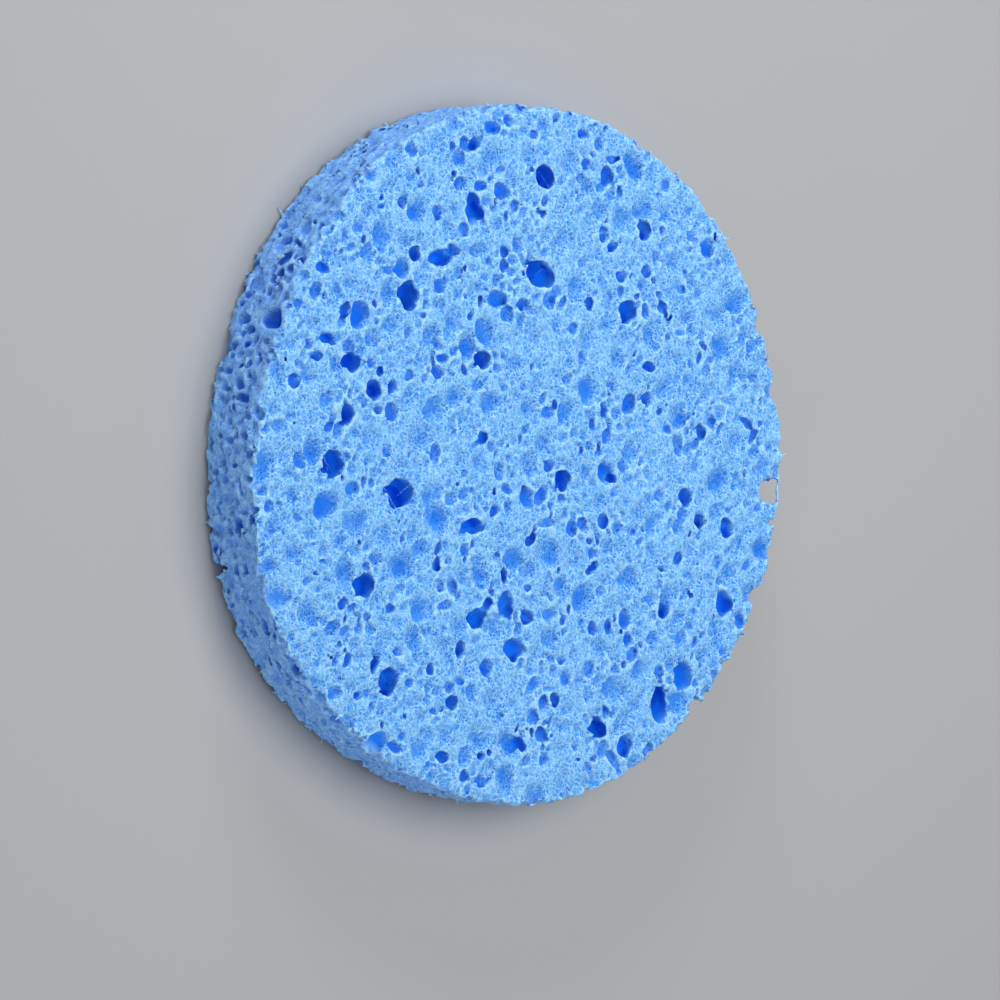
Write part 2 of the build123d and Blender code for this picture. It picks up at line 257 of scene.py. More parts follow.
class Lattice:
    """Points evenly spaced through the disc's box, with one value at each: the depth of foam."""

    def __init__(self, step, margin_out, margin_up):
        reach = RADIUS + margin_out
        self.step = step
        self.across = np.arange(-reach, reach + step, step, dtype=np.float32)
        self.up = np.arange(-margin_up, THICKNESS + margin_up + step, step, dtype=np.float32)
        self.origin = np.array([self.across[0], self.across[0], self.up[0]])
        self.foam = None
        self.hull = None
        self.speckle_and_shade = np.zeros((len(self.across), len(self.across), len(self.up)), np.float32)
        self.stray = [
            self.noise(STRAY_LUMP) * STRAY + self.noise(FINE_STRAY_LUMP) * FINE_STRAY for _ in range(3)
        ]

    def axes(self):
        """X, Y and Z of the lattice's points, shaped to be combined."""
        return self.across[:, None, None], self.across[None, :, None], self.up[None, None, :]

    def noise(self, cell):
        """Smooth random heights with one lump a cell: random values on a coarse lattice, mixed
        by a smoothstep of the place between them, one axis after another."""
        lines = (self.across, self.across, self.up)
        sizes = [int((line[-1] - line[0]) / cell) + 3 for line in lines]
        block = draw.uniform(-1, 1, sizes).astype(np.float32)
        for axis, line in enumerate(lines):
            place = (line - line[0]) / cell
            whole = place.astype(int)
            part = place - whole
            part = part * part * (3 - 2 * part)
            shape = [1, 1, 1]
            shape[axis] = len(line)
            part = part.reshape(shape).astype(np.float32)
            block = np.take(block, whole, axis) * (1 - part) + np.take(block, whole + 1, axis) * part
        return block

    def carve(self, middle, halves, turn, pricked=0.0):
        """Takes an ellipsoid out of the foam. A point's distance to it is about its distance
        from the middle in half sizes, less one, times the smallest half size, and the foam
        keeps the smaller of that and its own depth, rounded where the two are near. What is
        pricked marks the places near its wall where the finish has pinpricks and paints shade
        bluer, more towards one side."""
        reach = float(np.max(halves)) + 3 * LIP_ROUND + STRAY
        start = np.maximum(((middle - reach - self.origin) / self.step).astype(int), 0)
        stop = ((middle + reach - self.origin) / self.step).astype(int) + 2
        window = tuple(slice(a, b) for a, b in zip(start, np.maximum(stop, 0)))
        foam = self.foam[window]
        if not foam.size:
            return
        x = self.across[window[0], None, None] + self.stray[0][window] - middle[0]
        y = self.across[None, window[1], None] + self.stray[1][window] - middle[1]
        z = self.up[None, None, window[2]] + self.stray[2][window] - middle[2]
        squares = 0
        for row, half in zip(turn, halves):
            squares = squares + ((row[0] * x + row[1] * y + row[2] * z) / half) ** 2
        away = ((np.sqrt(squares) - 1) * np.min(halves)).astype(np.float32)
        near = np.maximum(LIP_ROUND - np.abs(foam - away), 0)
        np.minimum(foam, away, out=foam)
        foam -= near * near / (4 * LIP_ROUND)
        if pricked:
            lean = PRICKED_EVEN + PRICKED_SIDED * (x / halves[0] + PRICKED_ASLANT * y / halves[1])
            inside = np.clip(PRICKED_OUT - away / PRICKED_FADE, 0, 1) * np.clip(lean, 0, 1)
            marked = self.speckle_and_shade[window]
            np.maximum(marked, pricked * inside, out=marked)

    def grow(self, ends, radii):
        """Adds a round strand from one point to another: a point is in it if it is nearer to
        the line between them than the radius there, which changes evenly along it."""
        start, stop = ends
        reach = max(radii) + 2 * self.step
        first = ((np.minimum(start, stop) - reach - self.origin) / self.step).astype(int)
        last = ((np.maximum(start, stop) + reach - self.origin) / self.step).astype(int) + 2
        window = tuple(slice(max(a, 0), max(b, 0)) for a, b in zip(first, last))
        foam = self.foam[window]
        if not foam.size:
            return
        x = self.across[window[0], None, None] - start[0]
        y = self.across[None, window[1], None] - start[1]
        z = self.up[None, None, window[2]] - start[2]
        run = stop - start
        along = np.clip((x * run[0] + y * run[1] + z * run[2]) / (run @ run), 0, 1)
        squares = (x - along * run[0]) ** 2 + (y - along * run[1]) ** 2 + (z - along * run[2]) ** 2
        strand = radii[0] + (radii[1] - radii[0]) * along - np.sqrt(squares)
        np.maximum(foam, strand.astype(np.float32), out=foam)


# ---- Bubbles ----

def turn_matrix(along, up):
    """Rows of a turn whose first row is along and whose third is up, both made square."""
    up = up / np.linalg.norm(up)
    along = along - up * (along @ up)
    along = along / np.linalg.norm(along)
    return np.array([along, np.cross(up, along), up])


def tipped(turn, lean, bearing):
    """A turn whose third row leans by some degrees towards a bearing in its own first two."""
    lean, bearing = math.radians(lean), math.radians(bearing)
    towards = turn[0] * math.cos(bearing) + turn[1] * math.sin(bearing)
    return turn_matrix(turn[0], turn[2] * math.cos(lean) + towards * math.sin(lean))


def front_place(share, bearing, z=0.0):
    """A point over the front face: a share of the radius out, at a bearing, z above it."""
    angle = math.radians(bearing)
    return np.array([share * RADIUS * math.cos(angle), share * RADIUS * math.sin(angle), THICKNESS + z])


def rim(angle, height):
    """The disc's own radius at an angle, in radians, and a height: a circle and a few waves, as
    it was stamped from foam that gives, less a lean inwards on the side where the cut slants."""
    waves = [size * np.sin(turns * angle + start) for turns, size, start in RIM_WAVES]
    lean = SLANT * np.exp(-((np.degrees(angle) - SLANT_BEARING) / SLANT_SPREAD) ** 2)
    return RADIUS + RIM_OUT + sum(waves) - lean * height / THICKNESS


def side_place(bearing, height, out=0.0):
    """A point on the side, and the turn whose first row runs round the rim and third out."""
    angle = math.radians(bearing)
    outward = np.array([math.cos(angle), math.sin(angle), 0.0])
    place = outward * (rim(angle, height) + out) + np.array([0, 0, height])
    return place, turn_matrix(np.array([-math.sin(angle), math.cos(angle), 0.0]), outward)


FLAT = np.eye(3)


def deep_bubbles():
    """Each deep pore is an ellipsoid whose middle lies a fifth of its width under the face and
    whose floor leans away, with a smaller one joined to it part way down."""
    for share, bearing, size_x, size_y in DEEP_PORES:
        width = min(size_x, size_y)
        depth = width * draw.uniform(*DEEP_DEPTHS)
        turn = tipped(FLAT, draw.uniform(*DEEP_LEANS), draw.uniform(*DEEP_TOWARDS))
        halves = np.array([size_x / 2 * DEEP_SWELL, size_y / 2 * DEEP_SWELL, depth])
        middle = front_place(share, bearing, -DEEP_SINK * width)
        yield middle, halves, turn
        aside = draw.normal(0, DEEP_SECOND_ASIDE, 2) * width
        second = np.array([aside[0] + DEEP_SECOND_ON * width, aside[1], DEEP_SECOND_DOWN * depth])
        yield middle + second, halves * DEEP_SECOND, turn


def middling_bubbles():
    """Each middling pore is about half an ellipsoid, leaning, with a ragged second lobe."""
    for share, bearing, size_x, size_y in MIDDLING_PORES:
        width = min(size_x, size_y)
        turn = tipped(FLAT, draw.uniform(*MIDDLING_LEANS), draw.uniform(*MIDDLING_TOWARDS))
        halves = np.array([size_x / 2, size_y / 2, width * draw.uniform(*MIDDLING_DEPTHS)])
        middle = front_place(share, bearing)
        yield middle, halves, turn, draw.uniform(*MIDDLING_PRICKED)
        aside = draw.normal(0, MIDDLING_SECOND_ASIDE, 2) * width
        second = np.array([aside[0] + MIDDLING_SECOND_ON * width, aside[1], MIDDLING_SECOND_DOWN * width])
        yield middle + second, halves * MIDDLING_SECOND, turn


def saucer_bubbles():
    """Each saucer is the cap of a wide ellipsoid whose middle lies over the face, and which
    leans, so that it is deepest at one side."""
    for share, bearing, size_x, size_y in SAUCERS:
        swell = 1 / math.sqrt(1 - SAUCER_RISE ** 2)
        turn = tipped(FLAT, draw.uniform(*SAUCER_LEANS), draw.uniform(*SAUCER_TOWARDS))
        halves = np.array([size_x / 2 * swell, size_y / 2 * swell, SAUCER_HALF])
        yield front_place(share, bearing, SAUCER_RISE * SAUCER_HALF), halves, turn, 1.0


def side_bubbles():
    """Each pore of the side and each bite out of the rim is half an ellipsoid."""
    for bearing, height, size_round, size_up, depth in SIDE_PORES + RIM_BITES:
        place, turn = side_place(bearing, height)
        yield place, np.array([size_round / 2, size_up / 2, depth]), turn


def tunnels():
    """Tunnels that leave a strand of rim outside them: each a long ellipsoid that slopes out
    from under the front face to the side."""
    slope = math.radians(TUNNEL_SLOPE)
    for bearing, inset, half_round, half_across in TUNNELS:
        place, turn = side_place(bearing, THICKNESS, -inset)
        axis = turn[2] * math.cos(slope) - FLAT[2] * math.sin(slope)
        halves = np.array([half_round, half_across, TUNNEL_HALF])
        yield place + axis * TUNNEL_ON, halves, turn_matrix(turn[0], axis)


def packed_cells(skin, marks, rows):
    """Bubbles drawn at random on a skin and kept where they don't meet one already kept by more
    than a sliver, so that they crowd together as gas bubbles do, the large ones first. A
    bubble whose middle is above the skin only dents it, with a mouth narrower than itself."""
    count = len(marks)
    table = np.zeros((count + sum(row[0] for row in rows), 4))
    table[:count] = marks
    for tries, sizes, sinks, depths, pricked in rows:
        halves = np.sort(draw.uniform(*sizes, tries))[::-1]
        places, turns, drawn_out = skin(tries)
        deep = draw.uniform(*depths, tries)
        sunk = draw.uniform(*sinks, tries)
        mouths = halves * np.sqrt(1 - np.minimum(sunk, 0) ** 2)
        marked = draw.uniform(0, 1, tries) < pricked
        leans = draw.uniform(0, CELL_LEAN, tries)
        for k in range(tries):
            apart = np.linalg.norm(table[:count, :3] - places[k], axis=1) - table[:count, 3]
            if count and apart.min() < mouths[k] * (1 - CELL_OVERLAP):
                continue
            table[count] = (*places[k], mouths[k])
            count += 1
            shape = halves[k] * np.array([drawn_out[k], 1 / drawn_out[k], deep[k]])
            middle = places[k] - turns[k][2] * sunk[k] * shape[2]
            lean = leans[k] * math.copysign(1, 1 - deep[k])
            yield middle, shape, tipped(turns[k], lean, 0), float(marked[k])


def face_skin(height, up):
    """Places all over a face, with turns whose third row faces up or down, out of the foam."""
    def place(tries):
        angle = draw.uniform(0, 2 * math.pi, tries)
        out = (RADIUS - CELL_INSET) * np.sqrt(draw.uniform(0, 1, tries))
        places = np.stack([out * np.cos(angle), out * np.sin(angle), np.full(tries, height)], 1)
        turns = []
        for bearing in np.radians(draw.normal(CELL_BEARING, CELL_BEARING_STRAY, tries)):
            along = np.array([math.cos(bearing), math.sin(bearing), 0.0])
            turns.append(turn_matrix(along, up * FLAT[2]))
        return places, turns, draw.uniform(*FACE_CELL_LENGTHS, tries)
    return place


def side_skin(tries):
    """Places all round the side, with bubbles drawn out along the rim towards its low corner."""
    bearings = draw.uniform(-180, 180, tries)
    heights = draw.uniform(0, THICKNESS, tries)
    found = [side_place(*row) for row in zip(bearings, heights)]
    drawn_out = draw.uniform(*SIDE_CELL_LENGTHS, tries) + STREAK_LENGTH * streaky(bearings)
    return np.array([place for place, _ in found]), [turn for _, turn in found], drawn_out


def wisps():
    """Torn wisps that stand out of the rims and the side. Gives each one's ends and its radius
    at each."""
    out, spread_round, spread_up = WISP_WAY
    for level, tries in WISPS:
        for bearing in draw.uniform(-180, 180, tries):
            height = level + draw.normal(0, WISP_STRAY)
            root, turn = side_place(bearing, height, draw.uniform(*WISP_ROOTS))
            aside = turn[0] * draw.normal(0, spread_round) + turn[1] * draw.normal(0, spread_up)
            way = turn[2] * out + aside
            way /= np.linalg.norm(way)
            tip = root + way * draw.uniform(*WISP_LENGTHS)
            yield (root, tip), (draw.uniform(*WISP_RADII), WISP_TIP)


def rim_strand():
    """The thin strand of rim that is left outside the wide tunnel, in short lengths."""
    bends = []
    for bearing in STRAND_BEARINGS:
        place, _ = side_place(bearing, THICKNESS - STRAND_UNDER, draw.normal(STRAND_OUT, STRAND_STRAY))
        bends.append(place)
    for ends in zip(bends[:-1], bends[1:]):
        yield ends, (STRAND_RADIUS, STRAND_RADIUS)


def threads():
    """Threads of cellulose stretched from wall to wall of the wider deep pores, a little way
    down."""
    for share, bearing, size_x, size_y in DEEP_PORES:
        width = min(size_x, size_y)
        if width < THREADED_WIDTH:
            continue
        for _ in range(draw.integers(1, 3)):
            angle = draw.uniform(0, 2 * math.pi)
            along = np.array([math.cos(angle), math.sin(angle), draw.normal(0, THREAD_TILT)])
            across = np.array([-math.sin(angle), math.cos(angle), 0.0])
            spread = along * THREAD_REACH * width
            aside = across * draw.normal(0, THREAD_ASIDE) * width
            middle = front_place(share, bearing, -draw.uniform(*THREAD_DOWN) * width) + aside
            yield (middle - spread, middle + spread), (THREAD_RADIUS, THREAD_RADIUS)


def streaky(bearing):
    """How much the side is drawn out in streaks, at bearings in degrees."""
    return np.exp(-((bearing - STREAK_BEARING) / STREAK_SPREAD) ** 2)


def foam_lattice():
    """The disc's depth at each point, rounded at its edges and let stray by noise, less every
    bubble, and with the threads and wisps added. Nothing reaches under the back face."""
    lattice = Lattice(LATTICE_STEP, MARGIN_OUT, MARGIN_UP)
    x, y, z = lattice.axes()
    bearing = np.arctan2(y, x)
    out = np.sqrt(x * x + y * y) - rim(bearing, z)
    middle = THICKNESS / 2
    edge = np.where(z > middle, FRONT_EDGE_ROUND, BACK_EDGE_ROUND).astype(np.float32)
    over_side = out + edge
    over_face = np.abs(z - middle) - (middle - FACE_INSET) + edge
    corner = np.sqrt(np.maximum(over_side, 0) ** 2 + np.maximum(over_face, 0) ** 2)
    foam = edge - corner - np.minimum(np.maximum(over_side, over_face), 0)
    near_side = np.clip(1 + out / NEAR_SIDE, 0, 1)
    for size, height, rougher in LUMPS:
        foam = foam + lattice.noise(size) * (height + rougher * near_side)
    grooves = np.arange(GROOVE_FROM, GROOVE_TO, GROOVE_STEP)
    level = z + GROOVE_WAVE * np.sin(GROOVE_WAVES * bearing)
    groove = np.interp(level, grooves, draw.uniform(-1, 1, len(grooves)))
    foam = foam + GROOVE * groove * near_side * streaky(np.degrees(bearing))
    foam = np.minimum(foam, z)
    lattice.foam = np.ascontiguousarray(foam, dtype=np.float32)
    lattice.hull = lattice.foam.copy()

    front_marks = []
    for share, bearing, size_x, size_y in DEEP_PORES + MIDDLING_PORES + SAUCERS:
        front_marks.append((*front_place(share, bearing), (size_x + size_y) / 4))
    side_marks = []
    for bearing, height, size_round, size_up, _ in SIDE_PORES:
        side_marks.append((*side_place(bearing, height)[0], (size_round + size_up) / 4))
    groups = [
        saucer_bubbles(),
        middling_bubbles(),
        deep_bubbles(),
        side_bubbles(),
        tunnels(),
        packed_cells(face_skin(THICKNESS, 1), np.array(front_marks), FRONT_CELLS),
        packed_cells(face_skin(0.0, -1), np.zeros((0, 4)), BACK_CELLS),
        packed_cells(side_skin, np.array(side_marks), SIDE_CELLS),
    ]
    for group in groups:
        for bubble in group:
            lattice.carve(*bubble)
    for group in (wisps(), rim_strand(), threads()):
        for strand in group:
            lattice.grow(*strand)
    np.minimum(lattice.foam, z, out=lattice.foam)
    return lattice


# ---- From lattice to mesh ----

def surface_nets(lattice):
    """The skin between foam and gas. Each lattice cell that the skin crosses gets one corner,
    the mean of the places where it crosses the cell's edges, and each lattice edge that it
    crosses joins the corners of the four cells around it in a quad that faces the gas."""
    foam = lattice.foam
    solid = foam > 0
    _, ny, nz = foam.shape
    steps = np.array([(i, j, k) for i in (0, 1) for j in (0, 1) for k in (0, 1)])
    trimmed = [size - 1 for size in foam.shape]
    filled = sum(
        solid[i:trimmed[0] + i, j:trimmed[1] + j, k:trimmed[2] + k].astype(np.int8) for i, j, k in steps
    )
    crossed = (filled > 0) & (filled < 8)
    cells = np.argwhere(crossed)
    number = np.full(crossed.shape, -1, np.int32)
    number[crossed] = np.arange(len(cells))
    flat = foam.ravel()
    first = (cells[:, 0] * ny + cells[:, 1]) * nz + cells[:, 2]
    values = [flat[first + (i * ny + j) * nz + k] for i, j, k in steps]
    total = np.zeros((len(cells), 3), np.float32)
    count = np.zeros((len(cells), 1), np.float32)
    for a in range(8):
        for b in range(a + 1, 8):
            if np.abs(steps[a] - steps[b]).sum() == 1:
                cross = ((values[a] > 0) != (values[b] > 0))[:, None]
                gap = (values[a] - values[b])[:, None]
                share = values[a][:, None] / np.where(cross, gap, 1)
                total += np.where(cross, steps[a] + (steps[b] - steps[a]) * share, 0)
                count += cross
    points = (cells + total / count) * lattice.step + lattice.origin
    quads = []
    for axis in range(3):
        one, two = [other for other in range(3) if other != axis]
        here = np.take(solid, np.arange(foam.shape[axis] - 1), axis)
        there = np.take(solid, np.arange(1, foam.shape[axis]), axis)
        edges = np.argwhere(here != there)
        inside = (edges[:, one] > 0) & (edges[:, two] > 0)
        inside &= (edges[:, one] < foam.shape[one] - 1) & (edges[:, two] < foam.shape[two] - 1)
        edges = edges[inside]
        rising = there[edges[:, 0], edges[:, 1], edges[:, 2]]
        corners = []
        for back_one, back_two in ((1, 1), (0, 1), (0, 0), (1, 0)):
            cell = edges.copy()
            cell[:, one] -= back_one
            cell[:, two] -= back_two
            corners.append(number[cell[:, 0], cell[:, 1], cell[:, 2]])
        ring = np.stack(corners, 1)
        keep_order = rising if axis == 1 else ~rising
        quads.append(np.where(keep_order[:, None], ring, ring[:, ::-1]))
    return points, np.concatenate(quads)


def largest_shell(points, quads):
    """The one connected skin with the most corners, without loose crumbs or sealed bubbles.
    Every corner takes the lowest number found on its quads, over and over, until none
    changes, and then each shell has one number."""
    label = np.arange(len(points))
    while True:
        lowest = label[quads].min(axis=1)
        found = label.copy()
        for corner in range(4):
            np.minimum.at(found, quads[:, corner], lowest)
        found = found[found]
        found = found[found]
        if np.array_equal(found, label):
            break
        label = found
    main = np.bincount(label).argmax()
    return without_loose(points, quads[label[quads[:, 0]] == main])


def without_loose(points, faces):
    """The points that faces use, and the faces with those points' new numbers."""
    used = np.unique(faces)
    fresh = np.zeros(len(points), np.int64)
    fresh[used] = np.arange(len(used))
    return points[used], fresh[faces]


def mesh_from(name, points, faces):
    """A mesh object of points in millimetres and faces with the same number of corners."""
    mesh = bpy.data.meshes.new(name)
    sides = faces.shape[1]
    mesh.vertices.add(len(points))
    mesh.vertices.foreach_set("co", (points * MM).astype(np.float32).ravel())
    mesh.loops.add(faces.size)
    mesh.loops.foreach_set("vertex_index", faces.astype(np.int32).ravel())
    mesh.polygons.add(len(faces))
    mesh.polygons.foreach_set("loop_start", np.arange(0, faces.size, sides, dtype=np.int32))
    mesh.update(calc_edges=True)
    piece = bpy.data.objects.new(name, mesh)
    bpy.context.scene.collection.objects.link(piece)
    return piece


def corner_values(values, name):
    """Three numbers a corner, read from a mesh's vertices or normals."""
    found = np.empty(len(values) * 3, np.float32)
    values.foreach_get(name, found)
    return found.reshape(-1, 3)


def thinned(name, points, quads, triangles, spared):
    """A mesh object of the skin with its faces merged where it is flattest, down to that many.
    Corners that are spared keep more faces than the rest. Where a thin wall was merged to
    nothing, its two faces lie back to back on the same corners, and both are left out."""
    draft = mesh_from(name + "_draft", points, quads)
    group = draft.vertex_groups.new(name="thin")
    group.add(np.flatnonzero(spared).tolist(), SPARED_WEIGHT, "REPLACE")
    group.add(np.flatnonzero(~spared).tolist(), 1.0, "REPLACE")
    cut = draft.modifiers.new("thin", "DECIMATE")
    cut.ratio = triangles / (2 * len(quads))
    cut.use_collapse_triangulate = True
    cut.vertex_group = group.name
    cut.vertex_group_factor = SPARING
    bpy.context.view_layer.update()
    graph = bpy.context.evaluated_depsgraph_get()
    mesh = draft.evaluated_get(graph).to_mesh()
    faces = np.empty(len(mesh.loops), np.int32)
    mesh.loops.foreach_get("vertex_index", faces)
    faces = faces.reshape(-1, 3)
    corners = np.sort(faces, axis=1)
    _, own, times = np.unique(corners, axis=0, return_inverse=True, return_counts=True)
    single = times[own.ravel()] == 1
    points, faces = without_loose(corner_values(mesh.vertices, "co") / MM, faces[single])
    bpy.data.objects.remove(draft)
    return mesh_from(name, points, faces)


# ---- Attributes that the finish reads ----

def blurred(values, cells):
    """The mean of each lattice value's neighbours up to so many cells away, by running sums."""
    for axis in range(3):
        width = 2 * cells + 1
        ends = [(0, 0)] * 3
        ends[axis] = (cells + 1, cells)
        total = np.cumsum(np.pad(values, ends, mode="edge"), axis, dtype=np.float64)
        size = values.shape[axis]
        upper = np.take(total, np.arange(width, width + size), axis)
        lower = np.take(total, np.arange(0, size), axis)
        values = ((upper - lower) / width).astype(np.float32)
    return values


def sampled(lattice, values, points):
    """Lattice values at any points, in millimetres, mixed from the eight lattice points round
    each by how near they are."""
    place = np.clip((points - lattice.origin) / lattice.step, 0, np.array(values.shape) - 1.001)
    whole = place.astype(int)
    part = place - whole
    total = 0
    for i, j, k in ((i, j, k) for i in (0, 1) for j in (0, 1) for k in (0, 1)):
        share = np.abs(1 - i - part[:, 0]) * np.abs(1 - j - part[:, 1]) * np.abs(1 - k - part[:, 2])
        total = total + share * values[whole[:, 0] + i, whole[:, 1] + j, whole[:, 2] + k]
    return total


def give(piece, name, values):
    """Puts one number a corner on a piece, for its finish to read."""
    layer = piece.data.attributes.new(name, "FLOAT", "POINT")
    layer.data.foreach_set("value", values.astype(np.float32))


# ---- Finishes ----

class Wire:
    """A socket in a finish's nodes. Sums on it add the Math nodes that work them out."""

    def __init__(self, finish, socket):
        self.finish = finish
        self.socket = socket

    def __add__(self, other):
        return self.finish.maths("ADD", self, other)

    def __sub__(self, other):
        return self.finish.maths("SUBTRACT", self, other)

    def __rsub__(self, other):
        return self.finish.maths("SUBTRACT", other, self)

    def __mul__(self, other):
        return self.finish.maths("MULTIPLY", self, other)

    __radd__ = __add__
    __rmul__ = __mul__


class Finish:
    """A material and the nodes that make it."""

    def __init__(self, name):
        self.material = bpy.data.materials.new(name)
        self.material.use_nodes = True
        self.tree = self.material.node_tree
        self.tree.nodes.clear()

    def node(self, kind, settings=None, sockets=None, out=0):
        """One node: its settings first, then its sockets' values or links. Gives one output."""
        made = self.tree.nodes.new(kind)
        for name, value in (settings or {}).items():
            setattr(made, name, value)
        for name, value in (sockets or {}).items():
            if isinstance(value, Wire):
                self.tree.links.new(value.socket, made.inputs[name])
            else:
                made.inputs[name].default_value = value
        return Wire(self, made.outputs[out]) if len(made.outputs) else None

    def maths(self, operation, *values):
        return self.node("ShaderNodeMath", {"operation": operation}, dict(enumerate(values)))

    def ramp(self, value, start, end):
        """0 at start, 1 at end, flat beyond them and smooth between."""
        sockets = {"Value": value, "From Min": start, "From Max": end}
        return self.node("ShaderNodeMapRange", {"interpolation_type": "SMOOTHSTEP"}, sockets)

    def mix(self, share, one, two):
        """One colour turning into another by share."""
        sockets = {0: share, 6: one, 7: two}
        return self.node("ShaderNodeMix", {"data_type": "RGBA"}, sockets, out=2)

    def attribute(self, name):
        return self.node("ShaderNodeAttribute", {"attribute_name": name}, out=2)

    def noise(self, place, per_mm, detail=2.0, rough=0.5, out=0):
        sockets = {"Vector": place, "Scale": per_mm / MM, "Detail": detail, "Roughness": rough}
        return self.node("ShaderNodeTexNoise", {}, sockets, out)

    def cells(self, place, per_mm, feature="F1"):
        """How far each place is from its cell's middle or edge, and the cell's own number."""
        sockets = {"Vector": place, "Scale": per_mm / MM}
        far = self.node("ShaderNodeTexVoronoi", {"feature": feature}, sockets)
        if feature != "F1":
            return far
        own = self.node("ShaderNodeSeparateColor", {}, {0: Wire(self, far.socket.node.outputs[1])})
        return far, own

    def strayed(self, place, per_mm, reach):
        """A place moved about by noise, so that what is drawn on it bends."""
        sockets = {0: self.noise(place, per_mm, 0.0, out=1), 1: (reach, reach, reach), 2: place}
        return self.node("ShaderNodeVectorMath", {"operation": "MULTIPLY_ADD"}, sockets)

    def surface(self, sockets):
        """The material, once its shader has these values or links."""
        shader = self.node("ShaderNodeBsdfPrincipled", {}, sockets)
        self.node("ShaderNodeOutputMaterial", {}, {"Surface": shader})
        return self.material


SKY = (0.163, 0.450, 0.850, 1)        # the skin between the pores
LACE_AND_HIGHLIGHT = (0.410, 0.735, 0.960, 1)       # threads, streaks and grain, and painted highlight on lips and ridges and painted light on thin walls
LAVENDER = (0.190, 0.405, 0.980, 1)   # the cut side
MID = (0.042, 0.265, 0.820, 1)        # mid blue of random blotches and side streaks, and painted shade in shallow pores, on steep walls, on pinpricked floors and in small cells
ROYAL = (0.004, 0.175, 0.830, 1)      # painted shade deep in the pores and where foam closes round
NAVY = (0.008, 0.075, 0.400, 1)       # pinpricks, painted shade in pinholes too fine to model

BEND_PER_MM = 1.8         # lumps of the noise that bends the small cells
BEND = 0.45 * MM          # how far it moves them
BLOTCHES_PER_MM = 0.6
GRAINS_PER_MM = 4.0
STREAKS_PER_MM = 3.0
STREAK_SQUASH = (0.12, 0.12, 1.0)     # draws the noise out along the side into streaks
# Small cells too fine to model, with painted shade in their floors: (how many per mm, how
# blue their floors are painted, how white the threads between them are, how wide the threads
# are as a share of a cell).
SMALL_CELLS = [(0.7, 0.45, 0.6, 0.05), (1.7, 0.7, 0.7, 0.10)]
PINPRICKS_PER_MM = 3.4
BUMP_DEPTH = 0.05 * MM


